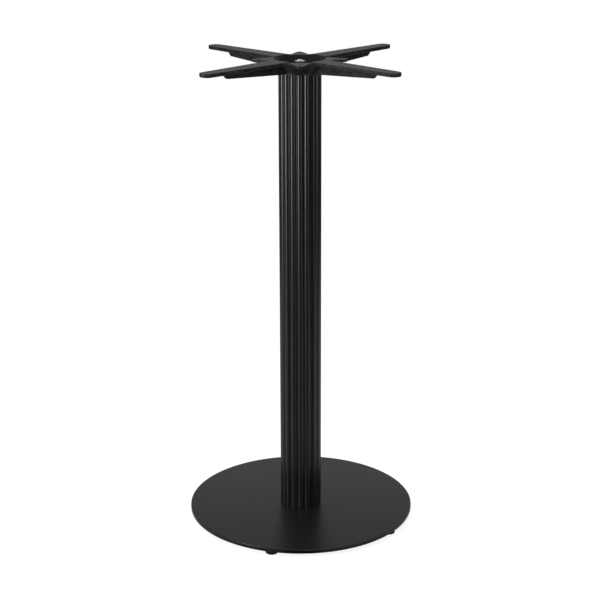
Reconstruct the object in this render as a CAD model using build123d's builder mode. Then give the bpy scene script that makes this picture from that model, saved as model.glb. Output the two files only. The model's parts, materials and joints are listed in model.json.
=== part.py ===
"""Bar-height pedestal for a table top: round plate on levelling feet, fluted tube column, cast spider.

Millimetres, +Z up. The origin lies on the floor, on the column's axis, and the front of the base is -Y.
"""
import math
import os

from build123d import *

# Overall height, from the floor to the spider's top face
base_height = 1110.0

# Base plate
plate_diameter = 540.0
plate_thickness = 10.0
plate_edge_radius = 1.5
plate_gap = 10.0

# Levelling feet
foot_count = 5
foot_inset = 19.0
foot_first_angle = -106.0
pad_diameter = 30.0
pad_lower_radius = 3.0
pad_top_chamfer = 0.8
pad_clearance = 0.3
stud_diameter = 8.0
stud_clearance = 0.05
stud_engagement = 8.0
stud_tip_clearance = 0.5
stud_seat_depth = 5.0
stud_chamfer = 0.8

# Fluted column
column_diameter = 98.0
column_wall = 2.0
flute_count = 16
flute_depth = 4.8
flute_valley_radius = 1.2

# Column locator, and the clearance of what centres the tube at both ends
locator_height = 12.0
locator_chamfer = 1.5
locating_clearance = 0.3

# Tie rod, its washer and its nut
rod_diameter = 14.0
rod_chamfer = 1.0
rod_hole_clearance = 0.5
thread_clearance = 0.05
washer_diameter = 28.0
washer_thickness = 2.5
nut_across_flats = 22.0
nut_height = 11.0
nut_chamfer = 1.2
nut_below_top = 6.2
rod_past_nut = 2.4

# Spider: plan of the arms, and of the ears that lie a little lower
arm_count = 4
arm_first_angle = 45.0
arm_reach = 298.0
arm_root_radius = 26.0
arm_tip_radius = 17.0
arm_thickness = 9.0
arm_edge_radius = 1.6
arm_under_radius = 3.0
arm_hole_inset = 17.0
ear_reach = 108.0
ear_root_radius = 46.0
ear_tip_radius = 9.0
ear_drop = 2.0
ear_hole_inset = 18.0
notch_radius = 12.0
screw_hole_diameter = 7.0

# Spider: hub, with the dish in its top and the spigot that drops into the column
hub_depth = 31.5
hub_top_radius = 70.0
collar_height = 5.0
dish_radius = 60.0
dish_floor_radius = 46.0
hub_floor_thickness = 8.0
spigot_length = 12.0
spigot_wall = 6.0

# Spider: one web under the middle of each arm and each ear, its depth measured from the arms' top
arm_web_thickness = 7.0
arm_web_reach = 225.0
arm_web_end_depth = 20.0
ear_web_thickness = 14.0
ear_web_reach = 82.0
ear_web_end_depth = 13.0

# Heights and radii that follow from these
plate_bottom = plate_gap
plate_top = plate_bottom + plate_thickness
column_top = base_height - hub_depth
column_radius = column_diameter / 2
tube_valley_radius = column_radius - flute_depth - column_wall
locator_radius = tube_valley_radius - locating_clearance
spigot_radius = tube_valley_radius - locating_clearance
rod_radius = rod_diameter / 2
dish_depth = nut_below_top + nut_height + washer_thickness
dish_floor = base_height - dish_depth
hub_underside = dish_floor - hub_floor_thickness
arm_underside = base_height - arm_thickness
ear_first_angle = arm_first_angle + 180 / arm_count
pad_height = plate_gap - pad_clearance
foot_circle_radius = plate_diameter / 2 - foot_inset
screw_hole_radius = screw_hole_diameter / 2

os.makedirs("parts", exist_ok=True)


def save(node, label):
    """Labels a finished piece and writes it to its own file."""
    node.part.label = label
    export_step(node.part, f"parts/{label}.step")


def polar(radius, angle):
    """A point in plan from its radius and its angle in degrees."""
    return (radius * math.cos(math.radians(angle)), radius * math.sin(math.radians(angle)))


def fluted_section(inset):
    """The column's closed outline, set in by a wall: round ribs joined by smaller round valleys.

    The rib's arc and the valley's arc touch at one tangent, which gives the rib's radius.
    """
    rib_top = column_radius - inset
    valley_floor = column_radius - flute_depth - inset
    valley_arc = flute_valley_radius + inset
    half_pitch = 180 / flute_count
    valley_centre = valley_floor + valley_arc
    along_rib = valley_centre * math.cos(math.radians(half_pitch))
    across_rib = valley_centre * math.sin(math.radians(half_pitch))
    rise = rib_top - along_rib
    rib_arc = (rise ** 2 + across_rib ** 2 - valley_arc ** 2) / (2 * (rise + valley_arc))
    share = rib_arc / (rib_arc + valley_arc)
    rib_centre = rib_top - rib_arc
    tangent_x = rib_centre + share * (along_rib - rib_centre)
    tangent_y = share * across_rib
    tangent_radius = math.hypot(tangent_x, tangent_y)
    tangent_angle = math.degrees(math.atan2(tangent_y, tangent_x))
    with BuildSketch() as section:
        with BuildLine():
            for index in range(flute_count):
                rib_angle = 2 * half_pitch * index
                rib_end = polar(tangent_radius, rib_angle + tangent_angle)
                next_start = polar(tangent_radius, rib_angle + 2 * half_pitch - tangent_angle)
                ThreePointArc(
                    polar(tangent_radius, rib_angle - tangent_angle), polar(rib_top, rib_angle), rib_end
                )
                ThreePointArc(rib_end, polar(valley_floor, rib_angle + half_pitch), next_start)
        make_face()
    return section.sketch


def finger_plan(root_radius, tip_radius, reach):
    """A tapered finger in plan along +X, round at both ends, from the hub's axis to its reach."""
    with BuildSketch() as plan:
        Circle(root_radius)
        with Locations((reach - tip_radius, 0)):
            Circle(tip_radius)
        make_hull()
    return plan.sketch


def web(thickness, reach, end_depth):
    """A web under an arm or an ear, along +X, from the spigot to a slanted end at its reach."""
    with BuildPart() as rib:
        with BuildSketch(Plane.XZ):
            with BuildLine():
                Polyline(
                    (spigot_radius, arm_underside),
                    (reach + end_depth - arm_thickness, arm_underside),
                    (reach, base_height - end_depth),
                    (column_radius, column_top),
                    (spigot_radius, column_top),
                    close=True,
                )
            make_face()
        extrude(amount=thickness / 2, both=True)
    return rib.part


# Base plate, with a blind tapped hole from below for each foot
with BuildPart() as base_plate:
    with Locations((0, 0, plate_bottom)):
        Cylinder(plate_diameter / 2, plate_thickness, align=(Align.CENTER, Align.CENTER, Align.MIN))
    fillet(base_plate.edges(), plate_edge_radius)
    with BuildSketch(Plane.XY.offset(plate_bottom)):
        with PolarLocations(foot_circle_radius, foot_count, start_angle=foot_first_angle):
            Circle(stud_diameter / 2 + stud_clearance)
    extrude(amount=stud_engagement + stud_tip_clearance, mode=Mode.SUBTRACT)
save(base_plate, "base_plate")

# Column locator, welded to the plate
with BuildPart() as column_locator:
    with Locations((0, 0, plate_top)):
        Cylinder(locator_radius, locator_height, align=(Align.CENTER, Align.CENTER, Align.MIN))
    chamfer(column_locator.edges().group_by(Axis.Z)[-1], locator_chamfer)
    Hole(rod_radius + thread_clearance)
save(column_locator, "column_locator")

# Fluted column, a tube of even wall
with BuildPart() as fluted_column:
    with BuildSketch(Plane.XY.offset(plate_top)):
        add(fluted_section(inset=0))
        add(fluted_section(inset=column_wall), mode=Mode.SUBTRACT)
    extrude(amount=column_top - plate_top)
save(fluted_column, "fluted_column")

# Tie rod, from the plate to just past the nut
with BuildPart() as tie_rod:
    with Locations((0, 0, plate_top)):
        Cylinder(
            rod_radius,
            base_height - nut_below_top + rod_past_nut - plate_top,
            align=(Align.CENTER, Align.CENTER, Align.MIN),
        )
    chamfer(tie_rod.edges().filter_by(GeomType.CIRCLE), rod_chamfer)
save(tie_rod, "tie_rod")

# Spider: one casting of ears, arms, webs and hub
arm_plan = finger_plan(arm_root_radius, arm_tip_radius, arm_reach)
ear_plan = finger_plan(ear_root_radius, ear_tip_radius, ear_reach)
with BuildPart() as spider:
    with BuildSketch(Plane.XY.offset(arm_underside)):
        with PolarLocations(0, arm_count, start_angle=arm_first_angle):
            add(arm_plan)
        with PolarLocations(0, arm_count, start_angle=ear_first_angle):
            add(ear_plan)
        offset(amount=notch_radius)
        offset(amount=-notch_radius)
    extrude(amount=arm_thickness - ear_drop)
    fillet(spider.faces().sort_by(Axis.Z)[-1].edges(), arm_edge_radius)
    fillet(spider.faces().sort_by(Axis.Z)[0].edges(), arm_under_radius)
    with BuildSketch(Plane.XY.offset(arm_underside + arm_under_radius)):
        with PolarLocations(0, arm_count, start_angle=arm_first_angle):
            add(arm_plan)
    extrude(amount=arm_thickness - arm_under_radius)
    with PolarLocations(0, arm_count, start_angle=arm_first_angle):
        add(web(arm_web_thickness, arm_web_reach, arm_web_end_depth))
    with PolarLocations(0, arm_count, start_angle=ear_first_angle):
        add(web(ear_web_thickness, ear_web_reach, ear_web_end_depth))
    with BuildSketch(Plane.XZ):
        with BuildLine():
            Polyline(
                (0, arm_underside),
                (hub_top_radius, arm_underside),
                (column_radius, column_top + collar_height),
                (column_radius, column_top),
                (spigot_radius, column_top),
                (spigot_radius, column_top - spigot_length),
                (spigot_radius - spigot_wall, column_top - spigot_length),
                (spigot_radius - spigot_wall, hub_underside),
                (0, hub_underside),
                close=True,
            )
        make_face()
    revolve(axis=Axis.Z)
    with BuildSketch(Plane.XZ):
        with BuildLine():
            Polyline(
                (0, base_height),
                (dish_radius, base_height),
                (dish_floor_radius, dish_floor),
                (0, dish_floor),
                close=True,
            )
        make_face()
    revolve(axis=Axis.Z, mode=Mode.SUBTRACT)
    fillet(spider.faces().filter_by(Plane.XY).group_by(Axis.Z)[-1].edges(), arm_edge_radius)
    with BuildSketch(Plane.XY.offset(base_height)):
        Circle(rod_radius + rod_hole_clearance)
        with PolarLocations(arm_reach - arm_hole_inset, arm_count, start_angle=arm_first_angle):
            Circle(screw_hole_radius)
        with PolarLocations(ear_reach - ear_hole_inset, arm_count, start_angle=ear_first_angle):
            Circle(screw_hole_radius)
    extrude(amount=-hub_depth, mode=Mode.SUBTRACT)
save(spider, "spider")

# Washer on the dish's floor
with BuildPart() as rod_washer:
    with BuildSketch(Plane.XY.offset(dish_floor)):
        Circle(washer_diameter / 2)
        Circle(rod_radius + rod_hole_clearance, mode=Mode.SUBTRACT)
    extrude(amount=washer_thickness)
save(rod_washer, "rod_washer")

# Hexagon nut on the washer, its corners turned off at both ends
nut_bottom = dish_floor + washer_thickness
nut_top = nut_bottom + nut_height
nut_corner_radius = nut_across_flats / 2 / math.cos(math.radians(30))
with BuildPart() as rod_nut:
    with BuildSketch(Plane.XY.offset(nut_bottom)):
        RegularPolygon(nut_across_flats / 2, 6, major_radius=False)
        Circle(rod_radius + thread_clearance, mode=Mode.SUBTRACT)
    extrude(amount=nut_height)
    with BuildSketch(Plane.XZ):
        with BuildLine():
            Polyline(
                (0, nut_bottom),
                (nut_across_flats / 2, nut_bottom),
                (nut_corner_radius, nut_bottom + nut_chamfer / 2),
                (nut_corner_radius, nut_top - nut_chamfer / 2),
                (nut_across_flats / 2, nut_top),
                (0, nut_top),
                close=True,
            )
        make_face()
    revolve(axis=Axis.Z, mode=Mode.INTERSECT)
save(rod_nut, "rod_nut")

# Levelling feet: a moulded pad and the stud that screws into the plate
for index in range(foot_count):
    foot_angle = foot_first_angle + 360 / foot_count * index
    foot_x, foot_y = polar(foot_circle_radius, foot_angle)
    with BuildPart() as foot_pad:
        with Locations((foot_x, foot_y, 0)):
            Cylinder(pad_diameter / 2, pad_height, align=(Align.CENTER, Align.CENTER, Align.MIN))
        fillet(foot_pad.edges().group_by(Axis.Z)[0], pad_lower_radius)
        chamfer(foot_pad.edges().group_by(Axis.Z)[-1], pad_top_chamfer)
        with BuildSketch(Plane.XY.offset(pad_height)):
            with Locations((foot_x, foot_y)):
                Circle(stud_diameter / 2 + stud_clearance)
        extrude(amount=-stud_seat_depth, mode=Mode.SUBTRACT)
    save(foot_pad, f"foot_pad_{index + 1}")
    with BuildPart() as foot_stud:
        with Locations((foot_x, foot_y, pad_height - stud_seat_depth)):
            Cylinder(
                stud_diameter / 2,
                stud_seat_depth + pad_clearance + stud_engagement,
                align=(Align.CENTER, Align.CENTER, Align.MIN),
            )
        chamfer(foot_stud.edges().group_by(Axis.Z)[-1], stud_chamfer)
    save(foot_stud, f"foot_stud_{index + 1}")
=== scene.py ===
"""Finish of the fluted round table base: its coats, plating, threads and the studio around it.

Metres, +Z up. The origin lies on the floor, on the column's axis, and the front of the base is -Y.
"""

import json
import logging
import math
from dataclasses import dataclass, field
from enum import Enum
from functools import cache
from typing import Union

import bmesh
import bpy
from mathutils import Matrix, Vector

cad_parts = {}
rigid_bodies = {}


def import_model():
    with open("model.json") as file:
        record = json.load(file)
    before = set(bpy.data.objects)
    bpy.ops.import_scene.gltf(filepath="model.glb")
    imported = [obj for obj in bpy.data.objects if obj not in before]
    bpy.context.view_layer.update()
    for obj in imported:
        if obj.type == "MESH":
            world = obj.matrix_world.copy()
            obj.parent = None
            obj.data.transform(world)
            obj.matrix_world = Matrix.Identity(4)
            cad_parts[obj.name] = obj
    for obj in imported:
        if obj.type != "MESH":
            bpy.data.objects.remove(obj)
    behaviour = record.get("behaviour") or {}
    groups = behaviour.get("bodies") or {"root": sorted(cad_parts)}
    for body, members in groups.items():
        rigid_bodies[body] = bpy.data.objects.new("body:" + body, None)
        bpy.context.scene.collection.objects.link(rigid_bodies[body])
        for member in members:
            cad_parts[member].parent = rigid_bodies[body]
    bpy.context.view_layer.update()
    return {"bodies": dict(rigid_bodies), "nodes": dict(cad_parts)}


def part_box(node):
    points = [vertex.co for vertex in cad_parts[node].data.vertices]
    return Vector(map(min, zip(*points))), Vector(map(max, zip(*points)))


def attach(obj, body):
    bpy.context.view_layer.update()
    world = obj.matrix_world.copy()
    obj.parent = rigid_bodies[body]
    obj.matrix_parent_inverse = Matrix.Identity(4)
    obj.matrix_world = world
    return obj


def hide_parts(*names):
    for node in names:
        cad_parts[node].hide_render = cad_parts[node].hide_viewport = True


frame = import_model()

LOG = logging.getLogger("table_base")
MM = 0.001

# Angle past which an edge stays sharp
CREASE = math.radians(35)
# Middle range of a noise, which finishes are spread over
NOISE_LOW, NOISE_HIGH = 0.3, 0.7
# Places of the colour sockets on a Mix node
MIX_DARK, MIX_LIGHT, MIX_RESULT = 6, 7, 2

Colour = tuple[float, float, float, float]
Feed = Union[bpy.types.NodeSocket, bpy.types.Material, float, int, tuple]


class Slot(Enum):
    """Names of two material slots in the record: the column's coat and zinc-plated steel."""

    COLUMN_COAT = "column_coat"
    ZINC_STEEL = "zinc_steel"


class NodeSketch:
    """Shorthand for drawing one node tree."""

    def __init__(self, tree: bpy.types.NodeTree) -> None:
        """Keeps the tree to draw in.

        Args:
            tree: the shader or geometry tree.
        """
        self.tree = tree

    def node(self, kind: str, **settings: object) -> bpy.types.Node:
        """Adds a node.

        Args:
            kind: Blender's name for the node type.
            settings: properties to set on it.

        Returns:
            The new node.
        """
        made = self.tree.nodes.new(kind)
        for name, value in settings.items():
            setattr(made, name, value)
        return made

    def feed(self, socket: bpy.types.NodeSocket, value: Feed) -> None:
        """Links a socket to an output, or sets its plain value.

        Args:
            socket: the input to feed.
            value: an output socket, or a plain value.
        """
        if isinstance(value, bpy.types.NodeSocket):
            self.tree.links.new(value, socket)
        else:
            socket.default_value = value

    def math(self, operation: str, *operands: Feed) -> bpy.types.NodeSocket:
        """Adds a Math node.

        Args:
            operation: the node's operation.
            operands: sockets or numbers, in order.

        Returns:
            The node's result.
        """
        made = self.node("ShaderNodeMath", operation=operation)
        for socket, value in zip(made.inputs, operands):
            self.feed(socket, value)
        return made.outputs[0]

    def split(self, vector: bpy.types.NodeSocket) -> tuple[bpy.types.NodeSocket, ...]:
        """Splits a vector.

        Args:
            vector: the vector's socket.

        Returns:
            Its X, Y and Z sockets.
        """
        made = self.node("ShaderNodeSeparateXYZ")
        self.feed(made.inputs[0], vector)
        return tuple(made.outputs)

    def join(self, x: Feed, y: Feed, z: Feed) -> bpy.types.NodeSocket:
        """Joins three numbers into a vector.

        Args:
            x: socket or number along X.
            y: socket or number along Y.
            z: socket or number along Z.

        Returns:
            The vector's socket.
        """
        made = self.node("ShaderNodeCombineXYZ")
        for socket, value in zip(made.inputs, (x, y, z)):
            self.feed(socket, value)
        return made.outputs[0]


class PieceTree:
    """A Geometry Nodes tree with named inputs that makes one piece."""

    def __init__(self, name: str) -> None:
        """Starts an empty tree.

        Args:
            name: the tree's name.
        """
        self.tree = bpy.data.node_groups.new(name, "GeometryNodeTree")
        self.tree.interface.new_socket("Geometry", in_out="OUTPUT", socket_type="NodeSocketGeometry")
        self.sketch = NodeSketch(self.tree)
        self.entry = self.sketch.node("NodeGroupInput")
        self.identifiers: dict[str, str] = {}

    def size(self, name: str, kind: str = "NodeSocketFloat") -> bpy.types.NodeSocket:
        """Adds a named input.

        Args:
            name: the input's name.
            kind: its socket type.

        Returns:
            The socket that carries its value inside the tree.
        """
        item = self.tree.interface.new_socket(name, in_out="INPUT", socket_type=kind)
        self.identifiers[name] = item.identifier
        return self.entry.outputs[name]

    def close(self, geometry: bpy.types.NodeSocket) -> None:
        """Ends the tree in real geometry with its material set.

        Args:
            geometry: the finished shape's socket.
        """
        material = self.size("Material", "NodeSocketMaterial")
        realize = self.sketch.node("GeometryNodeRealizeInstances")
        dress = self.sketch.node("GeometryNodeSetMaterial")
        leave = self.sketch.node("NodeGroupOutput")
        self.sketch.feed(realize.inputs["Geometry"], geometry)
        self.sketch.feed(dress.inputs["Geometry"], realize.outputs["Geometry"])
        self.sketch.feed(dress.inputs["Material"], material)
        self.sketch.feed(leave.inputs["Geometry"], dress.outputs["Geometry"])

    def make(self, piece: str, **sizes: Feed) -> bpy.types.Object:
        """Runs the tree and keeps its result as a plain mesh.

        Args:
            piece: the new object's name.
            sizes: the inputs by name, with underscores for spaces.

        Returns:
            The finished piece, closed, with its faces outwards.
        """
        holder = bpy.data.objects.new(piece, bpy.data.meshes.new(piece))
        bpy.context.scene.collection.objects.link(holder)
        rule = holder.modifiers.new("rule", "NODES")
        rule.node_group = self.tree
        for name, value in sizes.items():
            rule[self.identifiers[name.replace("_", " ")]] = value
        graph = bpy.context.evaluated_depsgraph_get()
        mesh = bpy.data.meshes.new_from_object(holder.evaluated_get(graph))
        holder.modifiers.remove(rule)
        holder.data = mesh
        close_mesh(mesh)
        return holder


def close_mesh(mesh: bpy.types.Mesh, merge: float = 0.01 * MM) -> None:
    """Merges a mesh's doubles, turns its faces outwards and shades it smooth up to its creases.

    Args:
        mesh: the mesh to finish.
        merge: distance under which points are one.
    """
    work = bmesh.new()
    work.from_mesh(mesh)
    bmesh.ops.remove_doubles(work, verts=work.verts, dist=merge)
    bmesh.ops.dissolve_degenerate(work, edges=work.edges, dist=merge)
    bmesh.ops.recalc_face_normals(work, faces=work.faces)
    for face in work.faces:
        face.smooth = True
    work.to_mesh(mesh)
    work.free()
    mesh.set_sharp_from_angle(angle=CREASE)


@cache
def fine_grain_group() -> bpy.types.ShaderNodeTree:
    """Builds the grain that every finish shares: fine pimples, a broader wave, and a cloudy haze.

    Returns:
        The shader group.
    """
    tree = bpy.data.node_groups.new("fine_grain", "ShaderNodeTree")
    tree.interface.new_socket("Vector", in_out="INPUT", socket_type="NodeSocketVector")
    for name in ("Grain Scale", "Wave Scale", "Wave Share", "Haze Scale"):
        tree.interface.new_socket(name, in_out="INPUT", socket_type="NodeSocketFloat")
    for name in ("Height", "Speck", "Haze"):
        tree.interface.new_socket(name, in_out="OUTPUT", socket_type="NodeSocketFloat")
    sketch = NodeSketch(tree)
    entry = sketch.node("NodeGroupInput")
    leave = sketch.node("NodeGroupOutput")

    def cloud(scale: str, detail: float) -> bpy.types.NodeSocket:
        """Adds a noise on the group's vector, at one of its scales.

        Args:
            scale: name of the scale input.
            detail: octaves of the noise.

        Returns:
            The noise.
        """
        noise = sketch.node("ShaderNodeTexNoise")
        sketch.feed(noise.inputs["Vector"], entry.outputs["Vector"])
        sketch.feed(noise.inputs["Scale"], entry.outputs[scale])
        sketch.feed(noise.inputs["Detail"], detail)
        return noise.outputs["Fac"]

    grain = cloud("Grain Scale", 2.0)
    wave = cloud("Wave Scale", 1.0)
    haze = cloud("Haze Scale", 3.0)
    raised = sketch.math("MULTIPLY", wave, entry.outputs["Wave Share"])
    sketch.feed(leave.inputs["Height"], sketch.math("ADD", grain, raised))
    sketch.feed(leave.inputs["Speck"], grain)
    sketch.feed(leave.inputs["Haze"], haze)
    return tree


class Finish:
    """What every finish shares: a Principled material over the fine grain."""

    def start(self, name: str) -> tuple[NodeSketch, bpy.types.Material, bpy.types.Node]:
        """Starts a material.

        Args:
            name: the material's name.

        Returns:
            A sketch of its tree, the material and its Principled shader.
        """
        material = bpy.data.materials.new(name)
        material.use_nodes = True
        sketch = NodeSketch(material.node_tree)
        return sketch, material, material.node_tree.nodes["Principled BSDF"]

    def grain(
        self, sketch: NodeSketch, grain: float, wave: float, wave_share: float, haze: float
    ) -> bpy.types.Node:
        """Places the shared grain on Object coordinates.

        Args:
            sketch: the material's sketch.
            grain: width of one pimple.
            wave: width of one wave.
            wave_share: height of the waves against the pimples.
            haze: width of one cloud of haze.

        Returns:
            The group's node.
        """
        coordinates = sketch.node("ShaderNodeTexCoord")
        placed = sketch.node("ShaderNodeGroup", node_tree=fine_grain_group())
        sketch.feed(placed.inputs["Vector"], coordinates.outputs["Object"])
        placed.inputs["Grain Scale"].default_value = 1 / grain
        placed.inputs["Wave Scale"].default_value = 1 / wave
        placed.inputs["Wave Share"].default_value = wave_share
        placed.inputs["Haze Scale"].default_value = 1 / haze
        return placed

    def spread(
        self, sketch: NodeSketch, mask: bpy.types.NodeSocket, low: float, high: float
    ) -> bpy.types.NodeSocket:
        """Spreads a noise's middle range over two values.

        Args:
            sketch: the material's sketch.
            mask: the noise.
            low: value where the noise is low.
            high: value where it is high.

        Returns:
            The spread value's socket.
        """
        ranged = sketch.node("ShaderNodeMapRange")
        sketch.feed(ranged.inputs["Value"], mask)
        ranged.inputs["From Min"].default_value = NOISE_LOW
        ranged.inputs["From Max"].default_value = NOISE_HIGH
        ranged.inputs["To Min"].default_value = low
        ranged.inputs["To Max"].default_value = high
        return ranged.outputs["Result"]

    def shade(
        self, sketch: NodeSketch, mask: bpy.types.NodeSocket, dark: Colour, light: Colour
    ) -> bpy.types.NodeSocket:
        """Runs a colour between two shades by a noise.

        Args:
            sketch: the material's sketch.
            mask: the noise.
            dark: colour where the noise is low.
            light: colour where it is high.

        Returns:
            The colour's socket.
        """
        mixed = sketch.node("ShaderNodeMix", data_type="RGBA")
        sketch.feed(mixed.inputs["Factor"], self.spread(sketch, mask, 0.0, 1.0))
        mixed.inputs[MIX_DARK].default_value = dark
        mixed.inputs[MIX_LIGHT].default_value = light
        return mixed.outputs[MIX_RESULT]

    def raise_grain(
        self, sketch: NodeSketch, shader: bpy.types.Node, height: bpy.types.NodeSocket, depth: float
    ) -> None:
        """Bumps the surface by the grain's height.

        Args:
            sketch: the material's sketch.
            shader: the Principled shader.
            height: the grain's height.
            depth: height of the bump.
        """
        bump = sketch.node("ShaderNodeBump")
        bump.inputs["Distance"].default_value = depth
        sketch.feed(bump.inputs["Height"], height)
        sketch.feed(shader.inputs["Normal"], bump.outputs["Normal"])


@dataclass(frozen=True)
class DishShade:
    """Painted shade: a round dish about the Z axis where the coat is drawn darker and less glossy, standing
    in for the shade in the hub's hollow.
    """

    floor: float
    floor_radius: float
    rim: float
    rim_radius: float
    margin: float
    # Factor on colour and gloss inside the dish: painted shade
    shade_factor: float

    def share(self, sketch: NodeSketch) -> bpy.types.NodeSocket:
        """Works out how much of the coat's colour and gloss a point keeps under the painted shade.

        Args:
            sketch: the material's sketch.

        Returns:
            The painted shade's factor within the dish, and 1 elsewhere.
        """
        x, y, z = sketch.split(sketch.node("ShaderNodeTexCoord").outputs["Object"])
        radius = sketch.math("SQRT", sketch.math("MULTIPLY_ADD", x, x, sketch.math("MULTIPLY", y, y)))
        slope = (self.rim_radius - self.floor_radius) / (self.rim - self.floor)
        wall = sketch.math("MULTIPLY_ADD", z, slope, self.floor_radius - self.floor * slope + self.margin)
        above = sketch.math("GREATER_THAN", z, self.floor - self.margin)
        inside = sketch.math("MULTIPLY", sketch.math("LESS_THAN", radius, wall), above)
        return sketch.math("MULTIPLY_ADD", inside, self.shade_factor - 1, 1.0)


@dataclass(frozen=True)
class PowderCoat(Finish):
    """Black powder coat: fine pimples, faint haze and a soft gloss."""

    name: str
    dark: Colour
    light: Colour
    smooth: float
    rough: float
    gloss: float
    grain_width: float
    grain_depth: float
    wave_width: float
    wave_share: float
    haze_width: float = 120 * MM
    # Painted shade inside a dish, which darkens colour and gloss there
    dish_shade: DishShade | None = None

    def make(self) -> bpy.types.Material:
        """Builds the material.

        Returns:
            The coat.
        """
        sketch, material, shader = self.start(self.name)
        grain = self.grain(
            sketch, self.grain_width, self.wave_width, self.wave_share, self.haze_width
        )
        colour = self.shade(sketch, grain.outputs["Haze"], self.dark, self.light)
        gloss: Feed = self.gloss
        # Painted shade: inside the dish the colour and the gloss are scaled down
        if self.dish_shade is not None:
            share = self.dish_shade.share(sketch)
            dish_shaded = sketch.node("ShaderNodeVectorMath", operation="SCALE")
            sketch.feed(dish_shaded.inputs[0], colour)
            sketch.feed(dish_shaded.inputs["Scale"], share)
            colour = dish_shaded.outputs[0]
            gloss = sketch.math("MULTIPLY", share, self.gloss)
        sketch.feed(shader.inputs["Base Color"], colour)
        roughness = self.spread(sketch, grain.outputs["Haze"], self.smooth, self.rough)
        sketch.feed(shader.inputs["Roughness"], roughness)
        sketch.feed(shader.inputs["Specular IOR Level"], gloss)
        self.raise_grain(sketch, shader, grain.outputs["Height"], self.grain_depth)
        return material


@dataclass(frozen=True)
class PlainSteel(Finish):
    """Bare or plated steel: warm grey metal with cloudy gloss and fine tool marks."""

    name: str
    dark: Colour
    light: Colour
    smooth: float
    rough: float
    grain_width: float = 0.9 * MM
    grain_depth: float = 0.02 * MM
    haze_width: float = 9 * MM
    wave_share: float = 0.4

    def make(self) -> bpy.types.Material:
        """Builds the material.

        Returns:
            The metal.
        """
        sketch, material, shader = self.start(self.name)
        grain = self.grain(
            sketch, self.grain_width, self.haze_width, self.wave_share, self.haze_width
        )
        shader.inputs["Metallic"].default_value = 1.0
        colour = self.shade(sketch, grain.outputs["Haze"], self.dark, self.light)
        sketch.feed(shader.inputs["Base Color"], colour)
        roughness = self.spread(sketch, grain.outputs["Speck"], self.smooth, self.rough)
        sketch.feed(shader.inputs["Roughness"], roughness)
        self.raise_grain(sketch, shader, grain.outputs["Height"], self.grain_depth)
        return material


@dataclass(frozen=True)
class Finishes:
    """The finishes of this base, made once and shared by its pieces."""

    plate: PowderCoat = PowderCoat(
        name="matt_plate_coat",
        dark=(0.002, 0.002, 0.0022, 1.0),
        light=(0.003, 0.003, 0.0032, 1.0),
        smooth=0.31,
        rough=0.33,
        gloss=0.335,
        grain_width=1.3 * MM,
        grain_depth=0.05 * MM,
        wave_width=9 * MM,
        wave_share=0.6,
    )
    column: PowderCoat = PowderCoat(
        name="satin_column_coat",
        dark=(0.0015, 0.0015, 0.0015, 1.0),
        light=(0.0025, 0.0025, 0.0025, 1.0),
        smooth=0.30,
        rough=0.32,
        gloss=0.55,
        grain_width=1.1 * MM,
        grain_depth=0.0008 * MM,
        wave_width=30 * MM,
        wave_share=2.0,
    )
    spider: PowderCoat = PowderCoat(
        name="cast_spider_coat",
        dark=(0.006, 0.006, 0.0062, 1.0),
        light=(0.026, 0.026, 0.027, 1.0),
        smooth=0.32,
        rough=0.56,
        gloss=0.17,
        grain_width=1.8 * MM,
        grain_depth=0.45 * MM,
        wave_width=12 * MM,
        wave_share=1.6,
        haze_width=10 * MM,
        # Painted shade in the hub's dish: colour and gloss scaled to 0.45 there
        dish_shade=DishShade(
            floor=1090.3 * MM,
            floor_radius=46 * MM,
            rim=1110 * MM,
            rim_radius=60 * MM,
            margin=1.5 * MM,
            shade_factor=0.45,
        ),
    )
    zinc: PlainSteel = PlainSteel(
        name="zinc_plating",
        dark=(0.50, 0.47, 0.41, 1.0),
        light=(0.62, 0.60, 0.56, 1.0),
        smooth=0.24,
        rough=0.40,
    )
    turned: PlainSteel = PlainSteel(
        name="turned_steel",
        dark=(0.30, 0.30, 0.31, 1.0),
        light=(0.42, 0.42, 0.43, 1.0),
        smooth=0.30,
        rough=0.48,
    )
    plastic: PowderCoat = PowderCoat(
        name="moulded_foot_plastic",
        dark=(0.004, 0.004, 0.004, 1.0),
        light=(0.006, 0.006, 0.006, 1.0),
        smooth=0.45,
        rough=0.6,
        gloss=0.15,
        grain_width=0.7 * MM,
        grain_depth=0.04 * MM,
        wave_width=4 * MM,
        wave_share=0.5,
    )

    def dress(self, node: str, material: bpy.types.Material) -> None:
        """Gives a carried-over CAD node its material.

        Args:
            node: the node's name.
            material: the material.
        """
        for place in frame["nodes"][node].material_slots:
            place.material = material


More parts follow.
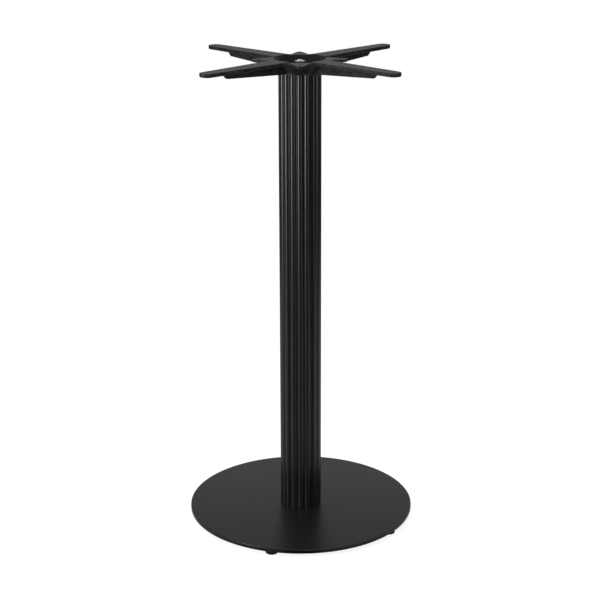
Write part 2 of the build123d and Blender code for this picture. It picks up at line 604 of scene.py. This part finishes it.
def fluted_tube_tree() -> PieceTree:
    """Builds the rule of the fluted tube: round ribs and valleys that meet at a tangent, in an even wall.

    Returns:
        The tree, with its sizes as inputs.
    """
    rule = PieceTree("fluted_tube")
    sketch = rule.sketch
    flutes = rule.size("Flutes", "NodeSocketInt")
    steps = rule.size("Steps Per Flute", "NodeSocketInt")
    rib_arc = rule.size("Rib Arc")
    rib_centre = rule.size("Rib Centre")
    valley_arc = rule.size("Valley Arc")
    valley_centre = rule.size("Valley Centre")
    wall = rule.size("Wall")
    edge = rule.size("Edge Radius")
    foot = rule.size("Foot")
    head = rule.size("Head")

    rows = (
        (edge, foot),
        (0.0, sketch.math("ADD", foot, edge)),
        (0.0, sketch.math("SUBTRACT", head, edge)),
        (edge, head),
        (wall, head),
        (wall, foot),
        (edge, foot),
    )
    grid = sketch.node("GeometryNodeMeshGrid")
    sketch.feed(grid.inputs["Vertices X"], sketch.math("MULTIPLY_ADD", flutes, steps, 1.0))
    sketch.feed(grid.inputs["Vertices Y"], len(rows))
    place = sketch.node("GeometryNodeInputPosition")
    across, along, _ = sketch.split(place.outputs[0])
    turn = sketch.math("MULTIPLY", sketch.math("ADD", across, 0.5), math.tau)
    row = sketch.math("ROUND", sketch.math("MULTIPLY", sketch.math("ADD", along, 0.5), len(rows) - 1))

    def by_row(values: tuple[Feed, ...]) -> bpy.types.NodeSocket:
        """Picks a value by the row of the wall's outline.

        Args:
            values: one value for each row.

        Returns:
            The value of the point's row.
        """
        pick = sketch.node("GeometryNodeIndexSwitch", data_type="FLOAT")
        while len(pick.index_switch_items) < len(values):
            pick.index_switch_items.new()
        sketch.feed(pick.inputs["Index"], row)
        for socket, value in zip(list(pick.inputs)[1:], values):
            sketch.feed(socket, value)
        return pick.outputs[0]

    inset = by_row(tuple(depth for depth, _ in rows))
    height = by_row(tuple(level for _, level in rows))

    pitch = sketch.math("DIVIDE", math.tau, flutes)
    half_pitch = sketch.math("DIVIDE", pitch, 2.0)
    from_rib = sketch.math("PINGPONG", turn, half_pitch)
    rib_bow = sketch.math("SUBTRACT", rib_arc, inset)
    valley_bow = sketch.math("ADD", valley_arc, inset)
    share = sketch.math("DIVIDE", rib_bow, sketch.math("ADD", rib_arc, valley_arc))
    forward = sketch.math("MULTIPLY", valley_centre, sketch.math("COSINE", half_pitch))
    out = sketch.math("SUBTRACT", forward, rib_centre)
    side = sketch.math("MULTIPLY", valley_centre, sketch.math("SINE", half_pitch))
    tangent = sketch.math(
        "ARCTAN2", sketch.math("MULTIPLY", side, share), sketch.math("MULTIPLY_ADD", out, share, rib_centre)
    )

    def ray(
        centre: bpy.types.NodeSocket, bow: bpy.types.NodeSocket, angle: bpy.types.NodeSocket, sign: float
    ) -> bpy.types.NodeSocket:
        """Finds where a ray from the axis meets a circle.

        Args:
            centre: distance of the circle's centre from the axis.
            bow: the circle's radius.
            angle: angle between the ray and the centre.
            sign: 1 for the circle's far side, -1 for its near side.

        Returns:
            The distance along the ray.
        """
        sideways = sketch.math("MULTIPLY", centre, sketch.math("SINE", angle))
        square = sketch.math("SUBTRACT", sketch.math("POWER", bow, 2.0), sketch.math("POWER", sideways, 2.0))
        reach = sketch.math("SQRT", sketch.math("MAXIMUM", square, 0.0))
        ahead = sketch.math("MULTIPLY", centre, sketch.math("COSINE", angle))
        return sketch.math("MULTIPLY_ADD", reach, sign, ahead)

    rib = ray(rib_centre, rib_bow, from_rib, 1.0)
    valley = ray(valley_centre, valley_bow, sketch.math("SUBTRACT", half_pitch, from_rib), -1.0)
    choose = sketch.node("GeometryNodeSwitch", input_type="FLOAT")
    sketch.feed(choose.inputs["Switch"], sketch.math("GREATER_THAN", from_rib, tangent))
    sketch.feed(choose.inputs["False"], rib)
    sketch.feed(choose.inputs["True"], valley)
    radius = choose.outputs[0]
    wrap = sketch.node("GeometryNodeSetPosition")
    sketch.feed(wrap.inputs["Geometry"], grid.outputs["Mesh"])
    point = sketch.join(
        sketch.math("MULTIPLY", radius, sketch.math("COSINE", turn)),
        sketch.math("MULTIPLY", radius, sketch.math("SINE", turn)),
        height,
    )
    sketch.feed(wrap.inputs["Position"], point)
    rule.close(wrap.outputs["Geometry"])
    return rule


def threaded_bar_tree() -> PieceTree:
    """Builds the rule of a round bar with a thread along part of its length and a turned-down end.

    Returns:
        The tree, with its sizes as inputs.
    """
    rule = PieceTree("threaded_bar")
    sketch = rule.sketch
    radius = rule.size("Radius")
    pitch = rule.size("Pitch")
    depth = rule.size("Thread Depth")
    foot = rule.size("Foot")
    length = rule.size("Length")
    thread_from = rule.size("Thread From")
    chamfer = rule.size("Chamfer")
    sides = rule.size("Sides", "NodeSocketInt")
    rows = rule.size("Rows", "NodeSocketInt")
    x_place = rule.size("X")
    y_place = rule.size("Y")

    bar = sketch.node("GeometryNodeMeshCylinder")
    sketch.feed(bar.inputs["Vertices"], sides)
    sketch.feed(bar.inputs["Side Segments"], rows)
    sketch.feed(bar.inputs["Radius"], 1.0)
    sketch.feed(bar.inputs["Depth"], length)
    x, y, z = sketch.split(sketch.node("GeometryNodeInputPosition").outputs[0])
    level = sketch.math("ADD", sketch.math("DIVIDE", z, length), 0.5)
    row = sketch.math("ROUND", sketch.math("MULTIPLY", level, rows))
    share = sketch.math("DIVIDE", sketch.math("SUBTRACT", row, 1.0), sketch.math("SUBTRACT", rows, 1.0))
    spaced = sketch.math("MULTIPLY_ADD", share, sketch.math("SUBTRACT", length, thread_from), thread_from)
    rise = sketch.math("MULTIPLY", spaced, sketch.math("MINIMUM", row, 1.0))
    angle = sketch.math("DIVIDE", sketch.math("ARCTAN2", y, x), math.tau)
    turns = sketch.math("SUBTRACT", sketch.math("DIVIDE", rise, pitch), angle)
    groove = sketch.math("MULTIPLY", sketch.math("PINGPONG", turns, 0.5), 2.0)
    threaded = sketch.math("GREATER_THAN", rise, thread_from)
    cut = sketch.math("MULTIPLY", sketch.math("MULTIPLY", groove, depth), threaded)
    to_end = sketch.math("SUBTRACT", length, rise)
    taper = sketch.math("MAXIMUM", sketch.math("SUBTRACT", chamfer, to_end), 0.0)
    turned = sketch.math("SUBTRACT", radius, sketch.math("MAXIMUM", cut, taper))
    shape = sketch.node("GeometryNodeSetPosition")
    sketch.feed(shape.inputs["Geometry"], bar.outputs["Mesh"])
    point = sketch.join(
        sketch.math("MULTIPLY_ADD", x, turned, x_place),
        sketch.math("MULTIPLY_ADD", y, turned, y_place),
        sketch.math("ADD", rise, foot),
    )
    sketch.feed(shape.inputs["Position"], point)
    rule.close(shape.outputs["Geometry"])
    return rule


@dataclass
class BasePlate:
    """The round plate on the floor side."""

    node: str = "base_plate"
    locator: str = "column_locator"

    def dress(self, finishes: Finishes) -> None:
        """Coats the plate, and gives the hidden locator its turned finish.

        Args:
            finishes: the finishes of the base.
        """
        finishes.dress(self.node, finishes.plate.make())
        finishes.dress(self.locator, finishes.turned.make())
        LOG.info("dressed %s and %s", self.node, self.locator)


@dataclass
class FlutedColumn:
    """The ribbed tube: round ribs joined by smaller round valleys."""

    node: str = "fluted_column"
    diameter: float = 98 * MM
    wall: float = 2 * MM
    flutes: int = 16
    flute_depth: float = 4.8 * MM
    valley_arc: float = 1.2 * MM
    edge_radius: float = 0.3 * MM
    steps_per_flute: int = 40

    def rib(self) -> tuple[float, float, float]:
        """Works out the rib's arc from the valley's, which it meets at a tangent.

        Returns:
            The rib's arc, its centre's radius and the valley centre's radius.
        """
        rib_top = self.diameter / 2
        valley_centre = rib_top - self.flute_depth + self.valley_arc
        half_pitch = math.pi / self.flutes
        rise = rib_top - valley_centre * math.cos(half_pitch)
        across = valley_centre * math.sin(half_pitch)
        arc = (rise ** 2 + across ** 2 - self.valley_arc ** 2) / (2 * (rise + self.valley_arc))
        return arc, rib_top - arc, valley_centre

    def build(self, finishes: Finishes) -> bpy.types.Object:
        """Makes the tube by its rule.

        Args:
            finishes: the finishes of the base.

        Returns:
            The tube, riding on the pedestal.
        """
        low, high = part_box(self.node)
        arc, centre, valley_centre = self.rib()
        tube = fluted_tube_tree().make(
            "fluted_tube",
            Flutes=self.flutes,
            Steps_Per_Flute=self.steps_per_flute,
            Rib_Arc=arc,
            Rib_Centre=centre,
            Valley_Arc=self.valley_arc,
            Valley_Centre=valley_centre,
            Wall=self.wall,
            Edge_Radius=self.edge_radius,
            Foot=low[2],
            Head=high[2],
            Material=finishes.column.make(),
        )
        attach(tube, "pedestal")
        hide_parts(self.node)
        LOG.info("built %s", tube.name)
        return tube


@dataclass
class Spider:
    """The cast top with its arms, ears and dished hub."""

    node: str = "spider"

    def dress(self, finishes: Finishes) -> None:
        """Coats the casting.

        Args:
            finishes: the finishes of the base.
        """
        finishes.dress(self.node, finishes.spider.make())
        LOG.info("dressed %s", self.node)


@dataclass
class ThreadedBar:
    """Sizes of a metric thread on a round bar."""

    pitch: float
    sides: int = 28
    rows_per_pitch: int = 8
    depth_per_pitch: float = 0.55
    chamfer: float = 1 * MM

    def rows(self, length: float) -> int:
        """Counts the rows of faces that a thread needs.

        Args:
            length: length of the thread.

        Returns:
            The rows, with one for the plain shank.
        """
        return round(length / self.pitch * self.rows_per_pitch) + 1


@dataclass
class TieRod:
    """The rod that holds plate, column and spider together, with its washer and nut."""

    node: str = "tie_rod"
    thread: ThreadedBar = field(default_factory=lambda: ThreadedBar(pitch=2 * MM))
    thread_length: float = 60 * MM
    fasteners: tuple[str, ...] = ("rod_washer", "rod_nut")

    def build(self, bar: PieceTree, finishes: Finishes, zinc: bpy.types.Material) -> bpy.types.Object:
        """Makes the rod with its thread, and plates its washer and nut.

        Args:
            bar: the rule of a threaded bar.
            finishes: the finishes of the base.
            zinc: the plating.

        Returns:
            The rod, riding on the pedestal.
        """
        low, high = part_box(self.node)
        length = high[2] - low[2]
        rod = bar.make(
            "threaded_tie_rod",
            Radius=(high[0] - low[0]) / 2,
            Pitch=self.thread.pitch,
            Thread_Depth=self.thread.pitch * self.thread.depth_per_pitch,
            Foot=low[2],
            Length=length,
            Thread_From=length - self.thread_length,
            Chamfer=self.thread.chamfer,
            Sides=self.thread.sides,
            Rows=self.thread.rows(self.thread_length),
            X=0.0,
            Y=0.0,
            Material=zinc,
        )
        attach(rod, "pedestal")
        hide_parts(self.node)
        for name in self.fasteners:
            finishes.dress(name, zinc)
        LOG.info("built %s and plated %s", rod.name, ", ".join(self.fasteners))
        return rod


@dataclass
class LevellingFoot:
    """One screw foot: a moulded pad and its threaded stud."""

    number: int
    thread: ThreadedBar = field(
        default_factory=lambda: ThreadedBar(pitch=1.25 * MM, sides=24, chamfer=0.8 * MM)
    )
    seat_depth: float = 5 * MM

    def build(
        self, bar: PieceTree, finishes: Finishes, zinc: bpy.types.Material, plastic: bpy.types.Material
    ) -> bpy.types.Object:
        """Makes the stud with its thread, and dresses the pad.

        Args:
            bar: the rule of a threaded bar.
            finishes: the finishes of the base.
            zinc: the plating.
            plastic: the pad's plastic.

        Returns:
            The stud, riding on its foot.
        """
        node = f"foot_stud_{self.number}"
        low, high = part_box(node)
        length = high[2] - low[2]
        stud = bar.make(
            f"threaded_foot_stud_{self.number}",
            Radius=(high[0] - low[0]) / 2,
            Pitch=self.thread.pitch,
            Thread_Depth=self.thread.pitch * self.thread.depth_per_pitch,
            Foot=low[2],
            Length=length,
            Thread_From=self.seat_depth,
            Chamfer=self.thread.chamfer,
            Sides=self.thread.sides,
            Rows=self.thread.rows(length - self.seat_depth),
            X=(low[0] + high[0]) / 2,
            Y=(low[1] + high[1]) / 2,
            Material=zinc,
        )
        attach(stud, f"foot_{self.number}")
        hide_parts(node)
        finishes.dress(f"foot_pad_{self.number}", plastic)
        LOG.info("built %s", stud.name)
        return stud


@dataclass(frozen=True)
class SoftBox:
    """A rectangular studio lamp, aimed at a point on the base."""

    name: str
    place: tuple[float, float, float]
    aim: tuple[float, float, float]
    width: float
    height: float
    radiance: float

    def build(self) -> bpy.types.Object:
        """Hangs the lamp.

        Returns:
            The lamp's object.
        """
        lamp = bpy.data.lights.new(self.name, "AREA")
        lamp.shape = "RECTANGLE"
        lamp.size = self.width
        lamp.size_y = self.height
        lamp.energy = self.radiance * math.pi * self.width * self.height
        holder = bpy.data.objects.new(self.name, lamp)
        bpy.context.scene.collection.objects.link(holder)
        holder.location = self.place
        sight = Vector(self.aim) - Vector(self.place)
        holder.rotation_euler = sight.to_track_quat("-Z", "Y").to_euler()
        holder.visible_camera = False
        return holder


@dataclass(frozen=True)
class Card:
    """A studio card that only gloss sees: it sets what the coats mirror."""

    name: str
    corners: tuple[tuple[float, float, float], ...]
    shade: float

    @classmethod
    def lying(cls, name: str, half: float, lift: float, shade: float) -> "Card":
        """Makes a square card on the floor, around the base.

        Args:
            name: the card's name.
            half: half its width.
            lift: its height over the floor.
            shade: its brightness.

        Returns:
            The card.
        """
        corners = ((-half, -half, lift), (half, -half, lift), (half, half, lift), (-half, half, lift))
        return cls(name, corners, shade)

    @classmethod
    def standing(
        cls,
        name: str,
        start: tuple[float, float],
        end: tuple[float, float],
        low: float,
        high: float,
        shade: float,
    ) -> "Card":
        """Makes an upright card over a line on the floor.

        Args:
            name: the card's name.
            start: first end of the line.
            end: other end of the line.
            low: height of its lower edge.
            high: height of its upper edge.
            shade: its brightness.

        Returns:
            The card.
        """
        return cls(name, ((*start, low), (*end, low), (*end, high), (*start, high)), shade)

    def build(self) -> bpy.types.Object:
        """Hangs the card.

        Returns:
            The card's object.
        """
        mesh = bpy.data.meshes.new(self.name)
        mesh.from_pydata(self.corners, [], [tuple(range(len(self.corners)))])
        card = bpy.data.objects.new(self.name, mesh)
        bpy.context.scene.collection.objects.link(card)
        material = bpy.data.materials.new(self.name)
        material.use_nodes = True
        shader = material.node_tree.nodes["Principled BSDF"]
        shader.inputs["Base Color"].default_value = (0.0, 0.0, 0.0, 1.0)
        shader.inputs["Specular IOR Level"].default_value = 0.0
        shader.inputs["Emission Color"].default_value = (self.shade, self.shade, self.shade, 1.0)
        shader.inputs["Emission Strength"].default_value = 1.0
        material.cycles.emission_sampling = "NONE"
        mesh.materials.append(material)
        card.visible_camera = False
        card.visible_diffuse = False
        card.visible_shadow = False
        card.visible_transmission = False
        return card


@dataclass(frozen=True)
class Studio:
    """Pale floor, white surround, soft lamps and the photograph's viewpoint."""

    ambient: float = 0.6
    floor_size: float = 16.0
    floor_colour: Colour = (0.25, 0.25, 0.25, 1.0)
    floor_glow: float = 0.86
    floor_roughness: float = 0.9
    cards: tuple[Card, ...] = (
        Card.lying("far_floor_card", half=7.0, lift=1 * MM, shade=0.08),
        Card.lying("near_floor_card", half=1.8, lift=2 * MM, shade=0.5),
        Card(
            "front_floor_card",
            ((0.0, -0.2, 3 * MM), (-3.5, -6.0, 3 * MM), (3.5, -6.0, 3 * MM)),
            shade=0.08,
        ),
        Card.standing("back_card", (-7.0, 6.0), (7.0, 6.0), low=0.0, high=2.4, shade=0.25),
        Card.standing("high_back_card", (-7.0, 6.0), (7.0, 6.0), low=3.4, high=8.0, shade=0.5),
        Card.standing("plate_card", (-1.5, 1.2), (1.5, 1.2), low=0.62, high=1.05, shade=0.38),
        Card.standing("left_card", (-7.0, -7.0), (-7.0, 6.0), low=0.0, high=3.0, shade=0.08),
        Card.standing("right_card", (7.0, -7.0), (7.0, 6.0), low=0.0, high=3.0, shade=0.08),
        Card.standing("front_card", (-7.0, -7.0), (7.0, -7.0), low=0.0, high=4.0, shade=0.02),
    )
    camera_place: tuple[float, float, float] = (-19.1 * MM, -3499.4 * MM, 1659.4 * MM)
    camera_pitch: float = 17.775
    camera_yaw: float = -0.296
    camera_roll: float = -0.142
    focal_share: float = 1554.4 / 600
    sensor: float = 36.0
    lamps: tuple[SoftBox, ...] = (
        SoftBox("left_box", (-2.1, -1.45, 0.93), (0.0, 0.0, 0.8), 0.7, 1.4, 14.0),
        SoftBox("right_box", (1.25, -2.15, 1.0), (0.0, 0.0, 0.8), 0.5, 1.2, 5.0),
        SoftBox("top_box", (-0.5, 0.3, 3.2), (0.0, 0.0, 0.0), 1.6, 1.6, 2.0),
    )

    def seen_white(self, sketch: NodeSketch) -> bpy.types.NodeSocket:
        """Marks the rays that see the surround itself: camera, glossy and transmission rays.

        Args:
            sketch: the tree's sketch.

        Returns:
            A mask that is 1 for those rays.
        """
        rays = sketch.node("ShaderNodeLightPath")
        mirrored = sketch.math("MAXIMUM", rays.outputs["Is Glossy Ray"], rays.outputs["Is Transmission Ray"])
        return sketch.math("MAXIMUM", rays.outputs["Is Camera Ray"], mirrored)

    def surround(self) -> None:
        """Builds the white world, which lights the base at the ambient level."""
        world = bpy.data.worlds.new("white_surround")
        bpy.context.scene.world = world
        world.use_nodes = True
        sketch = NodeSketch(world.node_tree)
        shell = world.node_tree.nodes["Background"]
        shell.inputs["Color"].default_value = (1.0, 1.0, 1.0, 1.0)
        strength = sketch.math("MULTIPLY_ADD", self.seen_white(sketch), 1 - self.ambient, self.ambient)
        sketch.feed(shell.inputs["Strength"], strength)

    def floor(self) -> bpy.types.Object:
        """Lays the pale floor, which keeps a soft shadow.

        Returns:
            The floor's object.
        """
        half = self.floor_size / 2
        mesh = bpy.data.meshes.new("studio_floor")
        corners = [(-half, -half, 0), (half, -half, 0), (half, half, 0), (-half, half, 0)]
        mesh.from_pydata(corners, [], [(0, 1, 2, 3)])
        floor = bpy.data.objects.new("studio_floor", mesh)
        bpy.context.scene.collection.objects.link(floor)
        material = bpy.data.materials.new("pale_floor")
        material.use_nodes = True
        sketch = NodeSketch(material.node_tree)
        shader = material.node_tree.nodes["Principled BSDF"]
        shader.inputs["Base Color"].default_value = self.floor_colour
        shader.inputs["Roughness"].default_value = self.floor_roughness
        shader.inputs["Specular IOR Level"].default_value = 0.0
        shader.inputs["Emission Color"].default_value = (1.0, 1.0, 1.0, 1.0)
        glow = sketch.math("MULTIPLY", self.seen_white(sketch), self.floor_glow)
        sketch.feed(shader.inputs["Emission Strength"], glow)
        material.cycles.emission_sampling = "NONE"
        mesh.materials.append(material)
        return floor

    def camera(self) -> bpy.types.Object:
        """Sets the camera at the photograph's viewpoint.

        Returns:
            The camera's object.
        """
        lens = bpy.data.cameras.new("viewpoint")
        lens.sensor_width = self.sensor
        lens.lens = self.focal_share * self.sensor
        viewpoint = bpy.data.objects.new("viewpoint", lens)
        bpy.context.scene.collection.objects.link(viewpoint)
        viewpoint.location = self.camera_place
        turn = Matrix.Rotation(math.radians(self.camera_yaw), 3, "Z")
        tilt = Matrix.Rotation(math.radians(90 - self.camera_pitch), 3, "X")
        roll = Matrix.Rotation(math.radians(self.camera_roll), 3, "Z")
        viewpoint.rotation_euler = (turn @ tilt @ roll).to_euler()
        bpy.context.scene.camera = viewpoint
        return viewpoint

    def build(self) -> None:
        """Sets the whole studio up."""
        bpy.context.scene.view_settings.view_transform = "Standard"
        self.camera()
        self.surround()
        self.floor()
        for piece in self.cards + self.lamps:
            piece.build()
        LOG.info("studio set, %d lamps", len(self.lamps))


def main() -> None:
    """Builds and dresses the base, piece by piece, and sets the studio around it."""
    logging.basicConfig(level=logging.INFO, format="%(name)s: %(message)s")
    finishes = Finishes()
    zinc = finishes.zinc.make()
    plastic = finishes.plastic.make()
    bar = threaded_bar_tree()
    BasePlate().dress(finishes)
    FlutedColumn().build(finishes)
    Spider().dress(finishes)
    TieRod().build(bar, finishes, zinc)
    for body in sorted(frame["bodies"]):
        if body.startswith("foot_"):
            LevellingFoot(int(body.split("_")[1])).build(bar, finishes, zinc, plastic)
    Studio().build()


if __name__ == "__main__":
    main()
